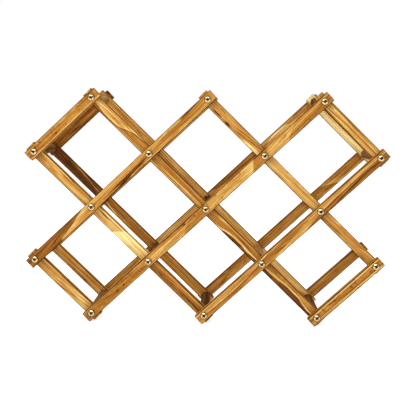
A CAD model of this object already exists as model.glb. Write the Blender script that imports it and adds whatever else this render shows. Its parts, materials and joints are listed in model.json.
"""The looks of a folding wooden wine rack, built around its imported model.

Every slat, spacer and screw is modelled again with its real edges and gets a procedural material.
Lengths are in metres, colours are linear, and X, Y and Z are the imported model's own.
"""

import json
import math
import random
from typing import NamedTuple

import bmesh
import bpy
from mathutils import Euler, Matrix, Vector, noise


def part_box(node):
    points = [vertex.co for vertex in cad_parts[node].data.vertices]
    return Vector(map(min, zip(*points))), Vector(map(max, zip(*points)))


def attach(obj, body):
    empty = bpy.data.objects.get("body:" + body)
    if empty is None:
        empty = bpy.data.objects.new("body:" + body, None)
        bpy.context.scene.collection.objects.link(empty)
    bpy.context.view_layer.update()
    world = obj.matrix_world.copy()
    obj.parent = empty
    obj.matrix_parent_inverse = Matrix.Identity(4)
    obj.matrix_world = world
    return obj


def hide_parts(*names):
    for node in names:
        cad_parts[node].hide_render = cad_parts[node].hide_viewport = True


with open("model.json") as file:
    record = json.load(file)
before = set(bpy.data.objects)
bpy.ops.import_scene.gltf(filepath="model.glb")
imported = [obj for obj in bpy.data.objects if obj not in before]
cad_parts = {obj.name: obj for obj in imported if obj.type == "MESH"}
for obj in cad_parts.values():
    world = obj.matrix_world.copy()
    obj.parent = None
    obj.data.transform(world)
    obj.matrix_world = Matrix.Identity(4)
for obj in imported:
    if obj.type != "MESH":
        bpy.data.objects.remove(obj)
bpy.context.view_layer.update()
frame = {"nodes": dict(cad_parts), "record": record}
bodies = frame["record"]["behaviour"]["bodies"]
BODY = {node: body for body, nodes in bodies.items() for node in nodes}

# ---------------------------------------------------------------- the lattice

SLATS = 5  # slats in one layer
TIERS = 2  # tiers of pivots above the middle one, and below it
COLUMNS = 3  # half cells on each side of the middle
ROWS = "abcde"  # the tiers' letters, from the top down
BASE = (4, 2)  # the rising and the falling slat that cross at the base spacer
SIDES = ("front", "rear")
KINDS = ("rising", "falling")


def column(m, n):
    return m + n - SLATS - 1


def tier(m, n):
    return n - m


def crosses(m, n):
    return abs(column(m, n)) <= COLUMNS and abs(tier(m, n)) <= TIERS


def partners(k):
    """The numbers of the slats that slat k crosses."""
    return [other for other in range(1, SLATS + 1) if crosses(k, other)]


CROSSINGS = [(m, n) for n in range(1, SLATS + 1) for m in partners(n)]


def place_name(m, n):
    """The letter and number of the place where rising slat m crosses falling slat n."""
    return f"{ROWS[TIERS - tier(m, n)]}{(column(m, n) + COLUMNS) // 2 + 1}"


def pivot(m, n):
    low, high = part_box(f"spacer_{place_name(m, n)}")
    return (low + high) / 2


def slat_pivots(kind, k):
    """The pivots along a slat, from left to right."""
    if kind == "rising":
        return [pivot(k, n) for n in partners(k)]
    return [pivot(m, k) for m in partners(k)]


PITCH = (pivot(2, 2) - pivot(2, 1)).length  # distance between neighbouring pivots

# ---------------------------------------------------------------- meshes


def new_object(name, data):
    thing = bpy.data.objects.new(name, data)
    bpy.context.scene.collection.objects.link(thing)
    return thing


def new_piece(name, mesh, node):
    """A piece that stands for a CAD node, or for one of its solids, and rides on its body."""
    piece = new_object(name, mesh)
    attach(piece, BODY[node])
    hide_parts(node)
    return piece


def mesh_of_rings(name, rings):
    """A closed mesh through rings of points, with a flat face on the first and on the last."""
    form = bmesh.new()
    loops = [[form.verts.new(point) for point in ring] for ring in rings]
    for first, second in zip(loops, loops[1:]):
        for i, vertex in enumerate(first):
            before = i - 1
            form.faces.new((first[before], vertex, second[i], second[before]))
    form.faces.new(loops[0])
    form.faces.new(loops[-1])
    bmesh.ops.recalc_face_normals(form, faces=form.faces)
    mesh = bpy.data.meshes.new(name)
    form.to_mesh(mesh)
    form.free()
    return mesh


def cut(mesh, cutter):
    """The mesh with the cutter's space taken out of it."""
    body = new_object("body_being_cut", mesh)
    tool = new_object("cutter", cutter)
    modifier = body.modifiers.new("cut", "BOOLEAN")
    modifier.operation = "DIFFERENCE"
    modifier.solver = "EXACT"
    modifier.object = tool
    graph = bpy.context.evaluated_depsgraph_get()
    result = bpy.data.meshes.new_from_object(body.evaluated_get(graph))
    for thing in (body, tool):
        bpy.data.objects.remove(thing)
    return result


def smooth(mesh, sharp_degrees):
    """Shades the mesh smooth, apart from edges that are sharper than an angle."""
    mesh.polygons.foreach_set("use_smooth", [True] * len(mesh.polygons))
    mesh.set_sharp_from_angle(angle=math.radians(sharp_degrees))


def weigh_normals(piece):
    """Keeps flat faces flat where a rounded edge meets them."""
    modifier = piece.modifiers.new("flat_faces", "WEIGHTED_NORMAL")
    modifier.keep_sharp = True


def keep_grain(mesh, offset=Vector((0, 0, 0))):
    """Stores where each vertex is in the piece's own wood or metal, for its material."""
    grain = mesh.attributes.new("grain", "FLOAT_VECTOR", "POINT")
    for vertex, value in zip(mesh.vertices, grain.data):
        value.vector = vertex.co + offset


def keep_value(mesh, name, value_at):
    """Stores a number at each vertex, for the piece's material."""
    values = mesh.attributes.new(name, "FLOAT", "POINT")
    for vertex, value in zip(mesh.vertices, values.data):
        value.value = value_at(vertex.co)


def circle(radius, segments):
    angles = [math.tau * i / segments for i in range(segments)]
    return [(radius * math.cos(angle), radius * math.sin(angle)) for angle in angles]


# ---------------------------------------------------------------- slats

HOLE_R = 0.00205
HOLE_SEGMENTS = 48
HOLE_CUT_LEN = 0.02  # of the cutter, more than a slat is thick
EDGE_R = 0.0007  # a slat's eased edges
EDGE_R_MIN = 0.0003
EDGE_STEPS = 4
SIDE_PARTS = 4  # stretches in each flat side of a slat's section
END_R = 0.0006  # a slat's rounded ends
END_ANGLES = (0.0, 0.5, 1.0)  # radians from the end's face, of the rings that round it
RING_STEP = 0.0045
DENT = 0.00022  # how far the wear takes an edge in
WAVES = 45  # of an edge's wear, in a metre
NICKS = 190  # in a metre
NICK_START = 0.35  # noise above this is a nick


def rounded_rectangle(half_w, half_t, radii):
    """Points (depth, across) around a slat's section, with a radius for each of its corners."""
    corners = ((1, 1), (-1, 1), (-1, -1), (1, -1))
    points = []
    for i, ((a, b), radius) in enumerate(zip(corners, radii)):
        middle = Vector((a * (half_t - radius), b * (half_w - radius)))
        start = math.pi / 2 * i
        for step in range(EDGE_STEPS + 1):
            angle = start + math.pi / 2 * step / EDGE_STEPS
            points.append(middle + radius * Vector((math.cos(angle), math.sin(angle))))
    return points


def with_split_sides(points):
    """The closed line's points, with its four straight sides split up."""
    result = []
    for i, point in enumerate(points):
        result.append(point)
        if i % (EDGE_STEPS + 1) == EDGE_STEPS:
            after = points[(i + 1) % len(points)]
            result += [point.lerp(after, part / SIDE_PARTS) for part in range(1, SIDE_PARTS)]
    return result


def edge_radius(x, corner, seed):
    """The radius of a slat's long edge, whose wear comes and goes, with nicks here and there."""
    wear = noise.noise(Vector((x * WAVES, corner * 5.3, seed * 3.7)))
    nick = max(0.0, noise.noise(Vector((x * NICKS, corner * 9.1, seed * 1.9))) - NICK_START)
    return EDGE_R + DENT * wear + 2 * DENT * nick


def slat_stations(low, high):
    """Where a slat's rings are along it, and how far each is inside its full section."""
    start = [(low + END_R * (1 - math.cos(a)), END_R * (1 - math.sin(a))) for a in END_ANGLES]
    count = round((high - low) / RING_STEP)
    straight = high - low - 2 * END_R
    middle = [(low + END_R + straight * i / count, 0.0) for i in range(count + 1)]
    end = [(high - (x - low), inset) for x, inset in reversed(start)]
    return start + middle + end


def slat_rings(low, high, half_w, half_t, seed):
    """Rings along a slat: rounded at its ends, and a little dented along its edges."""
    rings = []
    for x, inset in slat_stations(low, high):
        radii = [max(EDGE_R_MIN, edge_radius(x, corner, seed) - inset / 2) for corner in range(4)]
        section = with_split_sides(rounded_rectangle(half_w - inset, half_t - inset, radii))
        rings.append([(x, depth, across) for depth, across in section])
    return rings


def slat_holes(count):
    """One cutter for all of a slat's screw holes."""
    form = bmesh.new()
    turn = Matrix.Rotation(math.pi / 2, 4, "X")
    for i in range(count):
        bmesh.ops.create_cone(
            form,
            cap_ends=True,
            segments=HOLE_SEGMENTS,
            radius1=HOLE_R,
            radius2=HOLE_R,
            depth=HOLE_CUT_LEN,
            matrix=Matrix.Translation((i * PITCH, 0, 0)) @ turn,
        )
    mesh = bpy.data.meshes.new("holes")
    form.to_mesh(mesh)
    form.free()
    return mesh


def reach(points, axis):
    """The lowest and the highest of the points' places along an axis."""
    places = [point.dot(axis) for point in points]
    return min(places), max(places)


def make_slat(side, kind, k, look):
    """A slat, made lying along X with its first pivot at the origin, and then put in its place."""
    node = f"{side}_{kind}_slat_{k}"
    pivots = slat_pivots(kind, k)
    start = pivots[0]
    along = (pivots[-1] - start).normalized()
    axes = (along, Vector((0, 1, 0)), Vector((-along.z, 0, along.x)))
    corners = [vertex.co - start for vertex in frame["nodes"][node].data.vertices]
    (left, right), (near, far), (low, high) = [reach(corners, axis) for axis in axes]
    half_w = (high - low) / 2
    half_t = (far - near) / 2
    seed = SLATS * (2 * SIDES.index(side) + KINDS.index(kind)) + k
    rings = slat_rings(left, right, half_w, half_t, seed)
    mesh = cut(mesh_of_rings(node, rings), slat_holes(len(pivots)))
    keep_grain(mesh)
    middle = start + Vector((0, (near + far) / 2, 0))
    mesh.transform(Matrix.Translation(middle) @ Matrix(axes).transposed().to_4x4())
    smooth(mesh, 40)
    slat = new_piece(f"{node}_wood", mesh, node)
    weigh_normals(slat)
    mesh.materials.append(slat_wood(node, look, len(pivots) - 1, half_w, half_t, seed))


# ---------------------------------------------------------------- spacers

SPACER_SEGMENTS = 64
SPACER_RINGS = 24
SPACER_CHAMFER = 0.0005
SPACER_UNEVEN = 0.00018  # how far a spacer's side comes in at most
SPACER_DIRT_LEN = 0.004  # of the darker wood at each end of a spacer
SPACER_DIRT = 0.25  # how much darker its very end is
PILOT_R = 0.0015
PILOT_DEPTH = 0.01635
PILOT_TIP_H = 0.001  # the pilot hole narrows to its bottom over this height
PILOT_TIP_R = 0.0002


def spacer_outline(radius, half_len):
    """Radius and place along a spacer, from the bottom of one pilot hole round to the other's."""
    chamfer = SPACER_CHAMFER
    end = [
        (PILOT_TIP_R, half_len - PILOT_DEPTH),
        (PILOT_R, half_len - PILOT_DEPTH + PILOT_TIP_H),
        (PILOT_R, half_len),
        (radius - chamfer, half_len),
        (radius - 0.4 * chamfer, half_len - 0.4 * chamfer),
    ]
    side_len = 0.993 * half_len
    side = [(radius, side_len * (2 * i / SPACER_RINGS - 1)) for i in range(SPACER_RINGS + 1)]
    return [(r, -y) for r, y in end] + side + [(r, y) for r, y in reversed(end)]


def spacer_ring(radius, y, shift):
    """One ring of a spacer. Its side is a little uneven, and its pilot holes are round."""
    points = []
    for x, z in circle(1.0, SPACER_SEGMENTS):
        uneven = 0.5 + 0.5 * noise.noise(Vector((x * 1.5, y * 30 + shift, z * 1.5)))
        size = radius if radius <= PILOT_R else radius - SPACER_UNEVEN * uneven
        points.append((x * size, y, z * size))
    return points


def make_spacer(m, n, wood, rng):
    """A turned round bar with a pilot hole in each end."""
    place = place_name(m, n)
    node = f"spacer_{place}"
    low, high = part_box(node)
    half_len = (high.y - low.y) / 2
    outline = spacer_outline((high.x - low.x) / 2, half_len)
    shift = rng.uniform(0, 50)
    mesh = mesh_of_rings(node, [spacer_ring(radius, y, shift) for radius, y in outline])
    mesh.transform(Matrix.Rotation(rng.uniform(0, math.tau), 4, "Y"))
    keep_grain(mesh, Vector((0, shift, 0)))
    drawn_tone = rng.uniform(0.25, 0.55)
    tone = SPACER_TONES.get(place, drawn_tone)

    def tone_at(point):
        from_end = half_len - abs(point.y)
        return tone - SPACER_DIRT * max(0.0, 1 - from_end / SPACER_DIRT_LEN)

    keep_value(mesh, "tone", tone_at)
    mesh.transform(Matrix.Translation((low + high) / 2))
    smooth(mesh, 40)
    new_piece(f"{node}_wood", mesh, node)
    mesh.materials.append(wood)


# ---------------------------------------------------------------- screws

HEAD_R = 0.004
HEAD_H = 0.0024
RIM_H = 0.3 * HEAD_H  # of a screw head's straight rim, under its dome
RIM_EASE = 0.0002  # eased edge at the head's underside
DOME_H = HEAD_H - RIM_H
BALL_R = (HEAD_R**2 + DOME_H**2) / (2 * DOME_H)  # of the ball that the dome is a part of
DOME_STEPS = 8
RECESS_W = 0.0021  # one arm of the cross recess
RECESS_SPAN = 0.0054
RECESS_DEPTH = 0.6 * HEAD_H
RECESS_SKIN = 0.00005  # a face this far under the dome is in the recess
UNDER_HEAD = 0.00001  # from the head's underside to the shank's first ring
SHANK_R = 0.002
SCREW_LEN = 0.032  # under the head
SMOOTH_LEN = 0.01765  # the shank without a thread
THREAD_ROOT_R = 0.72 * SHANK_R
THREAD_PITCH = 0.0016
THREAD_RINGS = 6  # rings in one turn of the thread
TIP_H = 0.003
TIP_R = 0.0001
SCREW_SEGMENTS = 40


def dome_outline():
    """Radius and height around a screw's head, from the middle of its dome to its underside."""
    steep = math.asin(HEAD_R / BALL_R)
    dome = []
    for i in range(1, DOME_STEPS + 1):
        angle = steep * i / DOME_STEPS
        dome.append((BALL_R * math.sin(angle), HEAD_H - BALL_R * (1 - math.cos(angle))))
    return [(0.00015, HEAD_H)] + dome + [(HEAD_R, RIM_EASE), (HEAD_R - RIM_EASE, 0.0)]


def thread_radius(y, angle):
    """The screw's radius in its threaded stretch, at a height under the head and an angle."""
    depth = -y - SMOOTH_LEN
    left = min(1.0, (SCREW_LEN + y) / TIP_H)
    start = min(1.0, depth / THREAD_PITCH)
    turn = (depth / THREAD_PITCH - angle / math.tau) % 1.0
    ridge = max(0.0, 1 - abs(2 * turn - 1) * 1.7)
    root = THREAD_ROOT_R * left + TIP_R
    return root + (SHANK_R - THREAD_ROOT_R) * ridge * start * min(1.0, 1.6 * left)


def cross_outline(span, width):
    """The twelve corners of a cross."""
    long, short = span / 2, width / 2
    quarter = [Vector(corner) for corner in ((long, -short), (long, short), (short, short))]
    corners = []
    for i in range(4):
        turn = Matrix.Rotation(math.pi / 2 * i, 2)
        corners += [turn @ corner for corner in quarter]
    return corners


def recess_cutter():
    """A cross that narrows towards its bottom."""
    levels = (
        (HEAD_H * 1.2, cross_outline(RECESS_SPAN, RECESS_W)),
        (HEAD_H - RECESS_DEPTH, cross_outline(RECESS_SPAN * 0.5, RECESS_W * 0.65)),
    )
    return mesh_of_rings("recess", [[(x, y, z) for x, z in outline] for y, outline in levels])


def mark_recess(mesh):
    """Gives the faces of a screw's recess its second material."""
    ball_middle = Vector((0, HEAD_H - BALL_R, 0))
    for face in mesh.polygons:
        under_dome = (face.center - ball_middle).length < BALL_R - RECESS_SKIN
        near_axis = math.hypot(face.center.x, face.center.z) < 0.8 * HEAD_R
        if under_dome and near_axis and face.center.y > 0.0003:
            face.material_index = 1


def screw_mesh():
    """A screw that points down Y, with its head's underside at the origin."""
    rings = []
    for radius, y in dome_outline():
        rings.append([(x, y, z) for x, z in circle(radius, SCREW_SEGMENTS)])
    for y in (-UNDER_HEAD, -SMOOTH_LEN):
        rings.append([(x, y, z) for x, z in circle(SHANK_R, SCREW_SEGMENTS)])
    step = THREAD_PITCH / THREAD_RINGS
    count = int((SCREW_LEN - SMOOTH_LEN) / step)
    for i in range(1, count):
        y = -SMOOTH_LEN - i * step
        ring = []
        for x, z in circle(1.0, SCREW_SEGMENTS):
            radius = thread_radius(y, math.atan2(z, x))
            ring.append((x * radius, y, z * radius))
        rings.append(ring)
    rings.append([(x, -SCREW_LEN, z) for x, z in circle(TIP_R, SCREW_SEGMENTS)])
    mesh = cut(mesh_of_rings("screw", rings), recess_cutter())
    keep_grain(mesh)
    smooth(mesh, 32)
    mesh.materials.append(zinc())
    mesh.materials.append(dull_zinc())
    mark_recess(mesh)
    return mesh


def make_screws(rng):
    """Each crossing's screw from the front and from the rear, all with the same mesh."""
    mesh = screw_mesh()
    for m, n in CROSSINGS:
        for side in SIDES:
            place = place_name(m, n)
            node = f"{side}_screw_{place}" if (m, n) == BASE else f"{side}_screws_falling_{n}"
            low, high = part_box(node)
            spot = pivot(m, n)
            spot.y = low.y + HEAD_H if side == "front" else high.y - HEAD_H
            screw = new_piece(f"{side}_screw_{place}_steel", mesh, node)
            facing = Matrix.Rotation(math.pi if side == "front" else 0.0, 4, "Z")
            turn = Matrix.Rotation(rng.uniform(0, math.tau), 4, "Y")
            screw.matrix_world = Matrix.Translation(spot) @ facing @ turn


# ---------------------------------------------------------------- material nodes


class Graph:
    """The nodes of a material or of the room."""

    def __init__(self, tree):
        self.tree = tree

    def feed(self, socket, value):
        """Links a socket from another node's, or sets its value."""
        if isinstance(value, bpy.types.NodeSocket):
            self.tree.links.new(value, socket)
        else:
            socket.default_value = value

    def add(self, kind, *values, **settings):
        """A new node's first output. The values go to its inputs, from the first one on."""
        node = self.tree.nodes.new(kind)
        for name, setting in settings.items():
            setattr(node, name, setting)
        for socket, value in zip(node.inputs, values):
            self.feed(socket, value)
        return node.outputs[0]

    def math(self, operation, *values):
        return self.add("ShaderNodeMath", *values, operation=operation)

    def total(self, *values):
        result = values[0]
        for value in values[1:]:
            result = self.math("ADD", result, value)
        return result

    def times(self, value, factor):
        return self.math("MULTIPLY", value, factor)

    def length(self, x, y):
        """The length of a flat vector."""
        squares = self.total(self.math("POWER", x, 2.0), self.math("POWER", y, 2.0))
        return self.math("POWER", squares, 0.5)

    def step(self, value, low, high):
        """A soft step from 0 at low to 1 at high."""
        values = (value, low, high, 0.0, 1.0)
        return self.add("ShaderNodeMapRange", *values, interpolation_type="SMOOTHSTEP")

    def stored(self, name, output):
        node = self.tree.nodes.new("ShaderNodeAttribute")
        node.attribute_name = name
        return node.outputs[output]

    def split(self, vector):
        node = self.tree.nodes.new("ShaderNodeSeparateXYZ")
        self.feed(node.inputs[0], vector)
        return node.outputs

    def noise(self, point, scale, shift=0.0, detail=2.0, rough=0.5, contrast=1.0):
        """Noise around 0 at a point, scaled along each axis. Contrast widens its range."""
        x = self.math("MULTIPLY_ADD", point[0], scale[0], shift)
        y = self.times(point[1], scale[1])
        z = self.times(point[2], scale[2])
        node = self.tree.nodes.new("ShaderNodeTexNoise")
        self.feed(node.inputs["Vector"], self.add("ShaderNodeCombineXYZ", x, y, z))
        self.feed(node.inputs["Scale"], 1.0)
        self.feed(node.inputs["Detail"], detail)
        self.feed(node.inputs["Roughness"], rough)
        return self.math("MULTIPLY_ADD", node.outputs["Fac"], 2 * contrast, -contrast)

    def curve(self, value, points, value_span, result_span):
        """A smooth curve through points, of a value within one span to a result within another."""
        node = self.tree.nodes.new("ShaderNodeFloatCurve")
        line = node.mapping.curves[0].points
        first, last = value_span
        low, high = result_span
        for i, (x, y) in enumerate(sorted(points)):
            place = ((x - first) / (last - first), (y - low) / (high - low))
            if i < len(line):
                line[i].location = place
            else:
                line.new(*place)
        node.mapping.update()
        share = self.math("MULTIPLY_ADD", value, 1 / (last - first), -first / (last - first))
        self.feed(node.inputs["Value"], share)
        return self.math("MULTIPLY_ADD", node.outputs[0], high - low, low)

    def ramp(self, value, stops):
        """A colour from a scale of stops."""
        node = self.tree.nodes.new("ShaderNodeValToRGB")
        scale = node.color_ramp.elements
        for i, (position, colour) in enumerate(stops):
            stop = scale[i] if i < len(scale) else scale.new(position)
            stop.position = position
            stop.color = (*colour, 1)
        self.feed(node.inputs[0], value)
        return node.outputs[0]

    def blend(self, factor, first, second, mode="MIX"):
        """A colour between two. The node's inputs 6 and 7 and its output 2 are its colours."""
        node = self.tree.nodes.new("ShaderNodeMix")
        node.data_type = "RGBA"
        node.blend_type = mode
        self.feed(node.inputs["Factor"], factor)
        self.feed(node.inputs[6], first)
        self.feed(node.inputs[7], second)
        return node.outputs[2]


class Surface(Graph):
    """A new material with its nodes."""

    def __init__(self, name):
        self.material = bpy.data.materials.new(name)
        self.material.use_nodes = True
        super().__init__(self.material.node_tree)
        self.shader = self.tree.nodes["Principled BSDF"]

    def set(self, **values):
        """Sets or links the shader's own sockets."""
        for name, value in values.items():
            self.feed(self.shader.inputs[name.replace("_", " ")], value)

    def bump(self, height, strength, distance):
        node = self.tree.nodes.new("ShaderNodeBump")
        self.feed(node.inputs["Strength"], strength)
        self.feed(node.inputs["Distance"], distance)
        self.feed(node.inputs["Height"], height)
        self.feed(self.shader.inputs["Normal"], node.outputs[0])


# ---------------------------------------------------------------- slat wood


class Mark(NamedTuple):
    """Wood that is lighter or darker on a line in the grain, or on one side of it.

    The line's points are (along, across): along the slat in pivot pitches from its first pivot,
    and across it in half widths from its middle. A mark over its line reaches the slat's upper
    edge, one under it the lower edge, and one before or after it an end of the slat.
    """

    where: str  # on, over, under, before or after the line
    points: list
    change: float  # of tone, above 0 where the wood is lighter
    soft: float = 0.15  # width of the soft border, or of half the line, in half widths
    fade: float = 0.0  # distance from the line at which the change is lost, or 0


class Look(NamedTuple):
    """One slat's wood."""

    tone: float  # from 0, the darkest heartwood, to 1, the palest sapwood
    marks: list = []
    slope: float = 0.0  # how far its grain rises in one pitch, in half widths
    lines: float = 0.19  # how strong its fine lines are
    veins: float = 0.24  # how dark the thin lines between its growth rings are
    flecks: float = 0.03  # how dark its pores and short dashes are
    clouds: float = 0.08  # how strong its soft patches are


WOOD = [
    (0.00, (0.045, 0.013, 0.002)),
    (0.08, (0.110, 0.034, 0.004)),
    (0.15, (0.170, 0.055, 0.006)),
    (0.30, (0.245, 0.090, 0.010)),
    (0.42, (0.310, 0.127, 0.017)),
    (0.52, (0.370, 0.168, 0.030)),
    (0.62, (0.430, 0.220, 0.048)),
    (0.72, (0.490, 0.285, 0.073)),
    (0.82, (0.550, 0.362, 0.112)),
    (0.92, (0.630, 0.468, 0.175)),
    (1.00, (0.740, 0.585, 0.265)),
]
WARM = (0.95, 0.87, 0.82, 1)  # what the warmer patches are multiplied by
END_GRAIN_FROM = 0.0970  # pitches past the last pivot
END_GRAIN_TO = 0.0990


def mark_change(g, mark, u, v, spans, pitch):
    """The change of tone that a mark makes at a point. Pitch is in half widths."""
    ends = (-0.15, spans + 0.15)
    edges = (-1.6, 1.6)
    if mark.where in ("before", "after"):
        line = g.curve(v, [(across, along) for along, across in mark.points], edges, ends)
        away = g.times(g.math("SUBTRACT", u, line), pitch)
    else:
        line = g.curve(u, mark.points, ends, edges)
        away = g.math("SUBTRACT", v, line)
    if mark.where in ("under", "before"):
        away = g.times(away, -1.0)
    if mark.where == "on":
        # A line fades out at its first and its last point.
        share = g.step(g.math("ABSOLUTE", away), mark.soft, 0.0)
        first = mark.points[0][0]
        last = mark.points[-1][0]
        share = g.times(share, g.step(u, first - 0.04, first + 0.06))
        share = g.times(share, g.step(u, last + 0.04, last - 0.06))
    else:
        share = g.step(away, -mark.soft / 2, mark.soft / 2)
    if mark.fade:
        share = g.times(share, g.step(away, mark.fade, 0.0))
    return g.times(share, mark.change)


def slat_marks(g, look, u, v, w, shift, spans, pitch):
    """The changes of tone by a slat's marks, which run through it on a slant and waver a little."""
    waver = g.noise((u, w, v), (9.0, 1.0, 1.5), shift, contrast=0.12)
    across = g.total(v, waver, g.math("MULTIPLY_ADD", w, 0.3, 0.3))
    along = g.total(u, g.times(waver, 0.12), g.math("MULTIPLY_ADD", w, 0.02, 0.02))
    return [mark_change(g, mark, along, across, spans, pitch) for mark in look.marks]


def slat_wear(g, u, v, w, spans, pitch):
    """The change of tone that the finish, hands and dirt make. Pitch is in half widths."""
    from_middle = g.math("ABSOLUTE", v)
    edge = g.times(g.step(from_middle, 0.80, 0.93), g.step(g.math("ABSOLUTE", w), 0.70, 0.95))
    worn = g.times(g.step(from_middle, 0.60, 0.74), g.step(from_middle, 0.90, 0.78))
    # An underside is handled least and stays dull, and end grain soaks up more of the finish.
    underside = g.step(v, -0.93, -0.99)
    along = g.math("ABSOLUTE", g.total(u, -spans / 2))
    end_grain = g.step(along, spans / 2 + END_GRAIN_FROM, spans / 2 + END_GRAIN_TO)
    # Dirt gathers around each screw's head.
    from_pivot = g.math("SUBTRACT", u, g.math("ROUND", u))
    dirt = g.step(g.length(g.times(from_pivot, pitch), v), 0.77, 0.63)
    return g.total(
        g.times(edge, -0.55),
        g.times(worn, 0.10),
        g.times(underside, -0.10),
        g.times(end_grain, -0.24),
        g.times(dirt, -0.36),
    )


def slat_wood(name, look, spans, half_w, half_t, seed):
    """Satin varnished wood with heartwood and sapwood, whose grain runs along the slat."""
    g = Surface(name)
    along, depth, across = g.split(g.stored("grain", "Vector"))
    u = g.times(along, 1 / PITCH)
    v = g.times(across, 1 / half_w)
    w = g.times(depth, 1 / half_t)
    pitch = PITCH / half_w
    shift = 17.3 * seed  # gives each slat a pattern of its own
    wander = g.noise((u, w, v), (1.1, 0.2, 1.0), shift, detail=1.0, contrast=0.9)
    q = g.total(v, g.times(u, -look.slope), wander, g.times(w, 0.35))

    grain = (u, w, q)
    bands = g.noise(grain, (0.5, 0.3, 1.3), shift, contrast=2.0)
    lines = g.noise(grain, (0.7, 0.8, 4.0), shift, rough=0.55, contrast=2.5)
    fibres = g.noise(grain, (4.0, 9.0, 21.0), shift, detail=3.0, rough=0.6, contrast=2.0)
    pores = g.step(g.noise(grain, (13.0, 11.0, 15.0), shift, detail=1.0), 0.22, 0.42)
    dashes = g.step(g.noise(grain, (22.0, 3.0, 6.5), shift + 9, detail=1.0), 0.20, 0.38)
    rings = g.noise(grain, (0.45, 0.3, 2.1), shift + 3)
    veins = g.step(g.math("ABSOLUTE", rings), 0.085, 0.0)
    clouds = g.noise((u, w, v), (5.0, 1.0, 1.1), shift, contrast=2.0)

    tone = g.total(
        g.times(bands, 0.085),
        g.times(lines, look.lines),
        g.times(fibres, 0.13),
        g.times(pores, -2 * look.flecks),
        g.times(dashes, -4 * look.flecks),
        g.times(veins, -look.veins),
        g.times(clouds, look.clouds),
        slat_wear(g, u, v, w, spans, pitch),
        look.tone,
        *slat_marks(g, look, u, v, w, shift, spans, pitch),
    )
    warmth = g.noise(grain, (2.0, 1.0, 1.7), shift + 5, detail=1.0)
    colour = g.blend(g.step(warmth, -0.1, 0.6), g.ramp(tone, WOOD), WARM, "MULTIPLY")
    rough = g.total(g.times(clouds, 0.05), g.times(pores, 0.2), g.times(fibres, 0.03), 0.42)
    g.set(Base_Color=colour, Roughness=rough, Specular_IOR_Level=0.0)
    g.set(Coat_Weight=0.12, Coat_Roughness=0.3)
    height = g.total(g.times(fibres, 0.5), g.times(lines, 0.5), g.times(pores, -1.0))
    g.bump(height, 0.35, 0.00012)
    return g.material


def at_pivot(k):
    """A mark's line almost straight across a slat, at its pivot k, counted from 0."""
    return [(k - 0.02, -1.2), (k + 0.04, 1.2)]


# Borders of heartwood on two front slats, with a different tone on each side
RISING_2_BORDER = [
    (-0.15, -1.5),
    (0.36, -1.4),
    (0.42, -1.0),
    (0.46, -0.55),
    (0.6, -0.2),
    (0.75, 0.35),
    (0.93, 1.0),
    (1.05, 1.5),
    (3.15, 1.5),
]
FALLING_3_BORDER = [
    (-0.15, -0.2),
    (0.09, -0.27),
    (0.26, -0.6),
    (0.39, -0.6),
    (0.52, -0.27),
    (0.63, 0.4),
    (0.74, 0.75),
    (0.95, 1.0),
    (1.2, 1.6),
    (4.15, 1.6),
]

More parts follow.
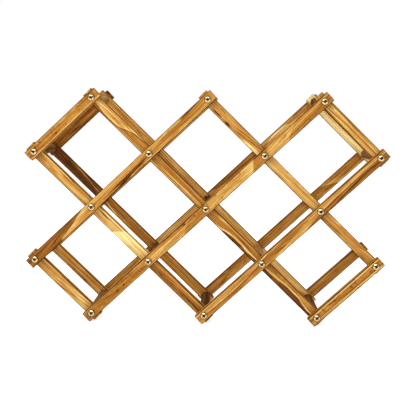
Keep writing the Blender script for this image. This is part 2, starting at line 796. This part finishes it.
SLAT_LOOKS = {
    "front_rising_slat_1": Look(
        0.53,
        [
            Mark("on", [(-0.1, 0.25), (0.5, 0.35), (1.1, 0.2)], -0.12, 0.4),
            Mark("under", [(-0.15, -0.45), (1.15, -0.45)], 0.11, 0.3),
        ],
        flecks=0.07,
    ),
    "front_rising_slat_2": Look(
        0.52,
        [
            Mark("over", RISING_2_BORDER, -0.27, 0.08),
            Mark("under", RISING_2_BORDER, 0.24, 0.08, 1.8),
            Mark("on", [(1.15, -0.95), (1.5, -0.7), (1.95, -0.1)], -0.42, 0.2),
            Mark("on", [(1.2, -0.5), (1.6, -0.25), (1.92, 0.05)], -0.30, 0.18),
            Mark("on", [(1.45, -0.9), (1.7, -0.55), (1.9, -0.4)], -0.50, 0.2),
            Mark("on", [(2.05, 0.1), (2.2, 0.5), (2.45, 0.95)], 0.22, 0.2),
            Mark("on", [(2.6, 0.7), (2.9, 0.82)], -0.45, 0.15),
        ],
        slope=0.3,
    ),
    "front_rising_slat_3": Look(
        0.60,
        [
            Mark("before", [(0.9, -1.6), (1.1, 1.6)], -0.17, 3.0),
            Mark("on", [(0.1, 0.8), (0.4, -0.2), (0.6, -0.9)], -0.15, 0.5),
            Mark("on", [(0.45, 0.9), (0.7, 0.3), (1.0, -0.7)], -0.12, 0.4),
            Mark("after", [(1.58, -1.2), (1.62, -0.4), (1.75, 0.5), (1.95, 1.2)], -0.15, 0.5),
            Mark("after", at_pivot(2), 0.18, 0.6),
            Mark("before", [(2.74, -1.2), (2.88, 1.2)], 0.11, 0.1, 4.0),
            Mark("after", [(2.74, -1.2), (2.88, 1.2)], -0.24, 0.2),
            Mark("after", [(3.02, -1.2), (3.1, 1.2)], 0.26, 0.8),
            Mark("after", [(3.33, -1.2), (3.45, 0.1), (3.62, 1.2)], -0.22, 0.3),
        ],
        flecks=0.07,
    ),
    "front_rising_slat_4": Look(
        0.51,
        [
            Mark("on", [(0.05, 0.05), (0.5, -0.1), (0.85, 0.2), (1.0, 0.5), (1.17, 0.9)], 0.32, 0.2),
            Mark("on", [(0.05, -0.17), (0.5, -0.3), (0.85, 0.0), (1.0, 0.3), (1.17, 0.7)],
                 -0.34, 0.12),
            Mark("under", [(-0.15, 0.0), (0.5, -0.3), (0.9, 0.05), (1.2, 1.5), (3.15, 1.5)],
                 -0.08, 0.3),
            Mark("over", [(-0.15, -1.5), (1.5, -1.4), (1.7, -0.8), (2.0, -0.1), (2.5, 0.2),
                          (3.15, 0.25)], 0.22, 0.1, 1.6),
            Mark("under", [(1.3, -1.5), (1.7, -0.85), (2.0, -0.15), (2.5, 0.15), (3.15, 0.2)],
                 -0.18, 0.15),
            Mark("on", [(1.15, -0.9), (1.6, -0.2), (1.95, 0.5)], 0.16, 0.25),
        ],
        slope=0.15,
    ),
    "front_rising_slat_5": Look(
        0.47,
        [
            Mark("on", [(-0.1, 0.68), (1.1, 0.7)], 0.34, 0.22),
            Mark("on", [(-0.1, 0.4), (1.1, 0.42)], -0.26, 0.12),
            Mark("on", [(-0.1, -0.5), (1.1, -0.66)], 0.34, 0.2),
            Mark("on", [(-0.1, -0.24), (1.1, -0.4)], -0.22, 0.12),
        ],
        flecks=0.09,
        lines=0.04,
    ),
    "front_falling_slat_1": Look(
        0.60,
        [
            Mark("on", [(0.0, -0.4), (0.5, 0.2), (0.95, 0.95)], 0.28, 0.35),
            Mark("on", [(0.4, -0.85), (0.7, -0.35), (0.97, 0.3)], -0.34, 0.22),
            Mark("on", [(0.2, -0.9), (0.6, -0.95)], -0.30, 0.2),
            Mark("on", [(0.0, 1.05), (1.1, 1.05)], -1.0, 0.12),
        ],
        slope=0.6,
    ),
    "front_falling_slat_2": Look(
        0.61,
        [
            Mark("on", [(0.0, 0.7), (2.0, 0.66)], 0.20, 0.2),
            Mark("after", [(0.95, -1.2), (1.05, 1.2)], 0.08, 2.0),
            Mark("after", [(1.38, -1.2), (1.52, 0.7), (1.56, 1.2)], 0.26, 0.12, 12.0),
            Mark("on", [(1.12, 0.36), (1.28, 0.34)], -0.70, 0.2),
            Mark("after", [(2.0, -1.2), (2.06, 1.2)], -0.34, 0.6),
            Mark("on", [(2.0, 0.5), (3.1, 0.56)], 0.30, 0.28),
            Mark("on", [(2.0, 0.1), (3.1, 0.2)], 0.10, 0.16),
        ],
    ),
    "front_falling_slat_3": Look(
        0.65,
        [
            Mark("over", FALLING_3_BORDER, 0.24, 0.08, 1.0),
            Mark("under", FALLING_3_BORDER, -0.17, 0.08),
            Mark("on", [(0.05, -0.36), (0.26, -0.72), (0.39, -0.72), (0.52, -0.4), (0.63, 0.27),
                        (0.74, 0.62), (0.95, 0.87)], -0.26, 0.12),
            Mark("on", [(1.08, -0.7), (1.5, -0.3), (1.95, -0.15)], 0.26, 0.2),
            Mark("on", [(1.25, -0.95), (1.6, -0.6), (1.95, -0.5)], 0.26, 0.2),
            Mark("on", [(2.1, -1.2), (2.3, -0.8), (2.6, -0.1), (2.8, -0.3), (3.0, -0.2),
                        (3.3, 0.0), (3.5, 0.25), (3.65, 0.2), (3.75, -0.1), (3.95, -0.5)],
                 0.44, 0.28),
            Mark("on", [(3.6, 0.9), (3.75, 0.35), (3.95, 0.0)], 0.2, 0.2),
            Mark("under", [(2.15, -1.4), (2.3, -0.95), (2.6, -0.3), (2.8, -0.5), (3.0, -0.4),
                           (3.3, -0.2), (3.5, 0.05), (3.65, 0.0), (3.75, -0.3), (4.15, -0.8)],
                 -0.38, 0.10),
        ],
        slope=0.1,
    ),
    "front_falling_slat_4": Look(
        0.645,
        [
            Mark("on", [(0.13, -0.62), (0.28, -0.56)], -0.85, 0.26),
            Mark("on", [(0.35, -0.66), (0.43, -0.62)], -1.0, 0.34),
            Mark("on", [(0.52, -0.45), (0.75, 0.0), (0.98, 0.5)], -0.45, 0.2),
            Mark("on", [(0.5, -0.05), (0.95, 0.8)], -0.32, 0.2),
            Mark("under", [(0.45, -1.4), (0.6, -0.95), (0.95, -0.3), (1.1, -1.5), (3.15, -1.5)],
                 0.24, 0.15),
            Mark("after", at_pivot(1), 0.03, 1.0),
            Mark("on", [(1.05, -0.3), (1.5, -0.1), (2.0, 0.1)], 0.12, 0.3),
            Mark("under", [(1.7, -1.5), (2.1, -0.2), (2.6, 0.1), (3.15, 0.25)], -0.14, 0.25),
        ],
        slope=0.5,
    ),
    "front_falling_slat_5": Look(
        0.59,
        [
            Mark("on", [(-0.1, 0.5), (1.1, 0.3)], 0.22, 0.16),
            Mark("on", [(-0.1, 0.18), (1.1, -0.06)], -0.22, 0.16),
            Mark("on", [(-0.1, -0.48), (1.1, -0.52)], 0.26, 0.16),
            Mark("on", [(-0.1, -0.78), (1.1, -0.82)], -0.22, 0.16),
            Mark("on", [(-0.1, 0.8), (1.1, 0.62)], -0.16, 0.14),
        ],
    ),
    "rear_rising_slat_1": Look(0.24, slope=0.3),
    "rear_rising_slat_2": Look(
        0.59,
        [Mark("over", [(-0.15, 0.9), (1.0, 0.1), (2.0, -0.3), (3.15, -0.9)], -0.14, 0.15)],
    ),
    "rear_rising_slat_3": Look(
        0.67,
        [
            Mark("over", [(-0.15, 1.5), (1.9, 1.5), (2.06, 1.1), (2.18, 0.4), (2.35, -0.06),
                          (2.6, -0.4), (3.0, -0.2), (3.2, 0.5), (3.3, 0.72), (3.45, 0.7),
                          (3.6, 0.1), (4.15, -0.2)], -0.34, 0.12),
            Mark("after", at_pivot(3), 0.19, 0.5),
            Mark("over", [(-0.15, 1.5), (1.0, 1.2), (1.26, 0.75), (1.43, 0.7), (1.56, 0.55),
                          (1.9, 0.5), (2.0, 1.5), (4.15, 1.5)], -0.12, 0.15),
            Mark("before", at_pivot(1), -0.15, 0.5),
        ],
    ),
    "rear_rising_slat_4": Look(
        0.46,
        [
            Mark("after", [(2.52, -1.2), (2.35, 0.0), (2.18, 1.2)], 0.17, 0.1, 3.0),
            Mark("before", [(2.52, -1.2), (2.35, 0.0), (2.18, 1.2)], -0.13, 0.1, 3.0),
            Mark("before", at_pivot(1), 0.06, 0.5),
        ],
        slope=0.1,
    ),
    "rear_rising_slat_5": Look(0.40),
    "rear_falling_slat_1": Look(0.56, [Mark("on", [(0.0, 0.3), (1.0, 0.2)], -0.12, 0.2)]),
    "rear_falling_slat_2": Look(
        0.40,
        [
            Mark("before", at_pivot(1), -0.31, 3.0),
            Mark("before", [(0.45, -1.2), (0.6, 1.2)], -0.04, 3.0),
            Mark("on", [(0.3, 0.95), (0.6, 0.65), (0.9, 0.1), (1.3, -0.8)], 0.62, 0.18),
            Mark("on", [(0.5, 0.95), (0.9, 0.4), (1.3, 0.0), (1.6, -0.3)], -0.2, 0.12),
            Mark("after", at_pivot(2), 0.06, 0.5),
        ],
    ),
    "rear_falling_slat_3": Look(
        0.57,
        [
            Mark("on", [(0.1, -0.3), (2.0, 0.4), (3.9, 0.1)], 0.10, 0.2),
            Mark("on", [(0.2, 0.3), (1.0, 0.1), (2.0, -0.4)], -0.22, 0.15),
            Mark("on", [(1.1, 0.6), (1.9, 0.4)], -0.24, 0.12),
            Mark("on", [(2.2, 0.85), (2.6, 0.45), (2.9, 0.05), (3.9, -0.4)], -0.30, 0.15),
            Mark("after", [(2.95, -1.2), (3.05, 1.2)], 0.12, 0.8),
        ],
    ),
    "rear_falling_slat_4": Look(
        0.54,
        [Mark("under", [(-0.15, -1.4), (0.8, -0.6), (1.6, 0.3), (3.15, 1.2)], -0.21, 0.12)],
    ),
    "rear_falling_slat_5": Look(1.0, [Mark("before", [(0.55, -1.2), (0.65, 1.2)], -0.05, 2.5)]),
}

# ---------------------------------------------------------------- spacer wood and screw metal

# The spacers whose tone is set by hand. The others get a random one.
SPACER_TONES = {
    "a1": 0.78,
    "a3": 0.30,
    "b1": 0.46,
    "b4": 0.55,
    "d2": 0.38,
    "d3": 0.72,
    "e2": 0.35,
}

SPACER_WOOD = [
    (0.00, (0.020, 0.008, 0.003)),
    (0.30, (0.080, 0.031, 0.009)),
    (0.60, (0.195, 0.088, 0.030)),
    (0.85, (0.370, 0.205, 0.078)),
    (1.00, (0.520, 0.390, 0.230)),
]


def spacer_wood():
    """Dark bare wood, whose grain runs along the spacer."""
    g = Surface("dark_wood")
    grain = g.split(g.stored("grain", "Vector"))
    bands = g.noise(grain, (260, 14, 260), contrast=2.0)
    lines = g.noise(grain, (900, 25, 900), detail=3.0, rough=0.6, contrast=2.2)
    pores = g.step(g.noise(grain, (2200, 120, 2200), detail=1.0), 0.2, 0.4)
    tone = g.total(
        g.times(bands, 0.18),
        g.times(lines, 0.16),
        g.times(pores, -0.15),
        g.stored("tone", "Fac"),
    )
    rough = g.total(g.times(lines, 0.05), g.times(pores, 0.2), 0.7)
    g.set(Base_Color=g.ramp(tone, SPACER_WOOD), Roughness=rough, Specular_IOR_Level=0.0)
    g.bump(g.total(lines, g.times(pores, -1.5)), 0.4, 0.0001)
    return g.material


def zinc():
    """Yellow zinc plating, darker around a screw head's rim."""
    g = Surface("zinc")
    place = g.split(g.stored("grain", "Vector"))
    haze = g.noise(place, (900, 900, 900), detail=3.0, rough=0.6, contrast=1.5)
    colour = g.blend(g.step(haze, -0.6, 0.7), (0.60, 0.46, 0.27, 1), (0.44, 0.31, 0.13, 1))
    rim = g.step(g.length(place["X"], place["Z"]), HEAD_R - 0.0007, HEAD_R - 0.0001)
    colour = g.blend(rim, colour, (0.26, 0.17, 0.055, 1))
    g.set(Base_Color=colour, Roughness=g.math("MULTIPLY_ADD", haze, 0.04, 0.14), Metallic=1.0)
    g.bump(haze, 0.15, 0.00005)
    return g.material


def dull_zinc():
    """Plating with dirt and dry grease on it, in the recess."""
    g = Surface("dull_zinc")
    place = g.split(g.stored("grain", "Vector"))
    haze = g.noise(place, (1300, 1300, 1300), detail=3.0, rough=0.6, contrast=1.5)
    colour = g.blend(g.step(haze, -0.6, 0.7), (0.09, 0.035, 0.012, 1), (0.045, 0.016, 0.006, 1))
    g.set(Base_Color=colour, Roughness=0.6, Metallic=0.7, Specular_IOR_Level=0.0)
    g.bump(haze, 0.2, 0.00005)
    return g.material


# ---------------------------------------------------------------- camera, floor and light

LENS = 65.402  # in millimetres, as is the sensor's width
SENSOR_W = 36
CAMERA_PLACE = (0.01832, -0.95722, 0.25927)
CAMERA_TURN = (82.688, -1.041, 1.130)  # in degrees
FLOOR_HALF = 3.0
KEY_PLACE = Vector((-0.4, -1.3, 1.3))
KEY_AIM = Vector((0, 0, 0.14))
KEY_W = 2.0
KEY_H = 0.8
KEY_WATTS = 27


def make_camera():
    """Almost straight on, from just under the height of the rack's top, looking slightly down."""
    data = bpy.data.cameras.new("camera")
    data.lens = LENS
    data.sensor_width = SENSOR_W
    data.clip_start = 0.01
    camera = new_object("camera", data)
    camera.location = CAMERA_PLACE
    camera.rotation_euler = Euler([math.radians(turn) for turn in CAMERA_TURN])
    bpy.context.scene.camera = camera


def make_floor():
    """A pale floor that glows a little, so that it is almost white."""
    mesh = bpy.data.meshes.new("floor")
    corners = [(x * FLOOR_HALF, y * FLOOR_HALF, 0) for x, y in ((-1, -1), (1, -1), (1, 1), (-1, 1))]
    mesh.from_pydata(corners, [], [(0, 1, 2, 3)])
    g = Surface("floor")
    g.set(Base_Color=(0.8, 0.8, 0.8, 1), Roughness=0.9)
    g.set(Emission_Color=(1, 1, 1, 1), Emission_Strength=0.6)
    mesh.materials.append(g.material)
    new_object("floor", mesh)


def make_room():
    """White all round, but it lights the rack less from low down in front."""
    world = bpy.data.worlds.new("room")
    world.use_nodes = True
    bpy.context.scene.world = world
    g = Graph(world.node_tree)
    direction = g.split(g.tree.nodes.new("ShaderNodeTexCoord").outputs["Generated"])
    in_front = g.step(direction["Y"], 0.1, -0.3)
    low_down = g.step(direction["Z"], 0.7, 0.3)
    seen = g.tree.nodes.new("ShaderNodeLightPath").outputs["Is Camera Ray"]
    dark = g.times(g.times(in_front, low_down), g.math("SUBTRACT", 1.0, seen))
    background = g.tree.nodes["Background"]
    g.feed(background.inputs["Color"], (1, 1, 1, 1))
    g.feed(background.inputs["Strength"], g.math("SUBTRACT", 1.0, g.times(dark, 0.6)))


def make_key_light():
    """One large soft light from above on the left, in front of the rack."""
    data = bpy.data.lights.new("key", "AREA")
    data.shape = "RECTANGLE"
    data.size = KEY_W
    data.size_y = KEY_H
    data.energy = KEY_WATTS
    key = new_object("key", data)
    key.location = KEY_PLACE
    key.rotation_euler = (KEY_AIM - KEY_PLACE).to_track_quat("-Z", "Y").to_euler()


# ---------------------------------------------------------------- the rack

SPACER_SEED = 5
SCREW_SEED = 11

make_camera()
make_floor()
make_room()
make_key_light()
bpy.context.scene.view_settings.view_transform = "Standard"

for side in SIDES:
    for kind in KINDS:
        for k in range(1, SLATS + 1):
            make_slat(side, kind, k, SLAT_LOOKS[f"{side}_{kind}_slat_{k}"])

dark_wood = spacer_wood()
spacer_rng = random.Random(SPACER_SEED)
for m, n in CROSSINGS:
    make_spacer(m, n, dark_wood, spacer_rng)

make_screws(random.Random(SCREW_SEED))
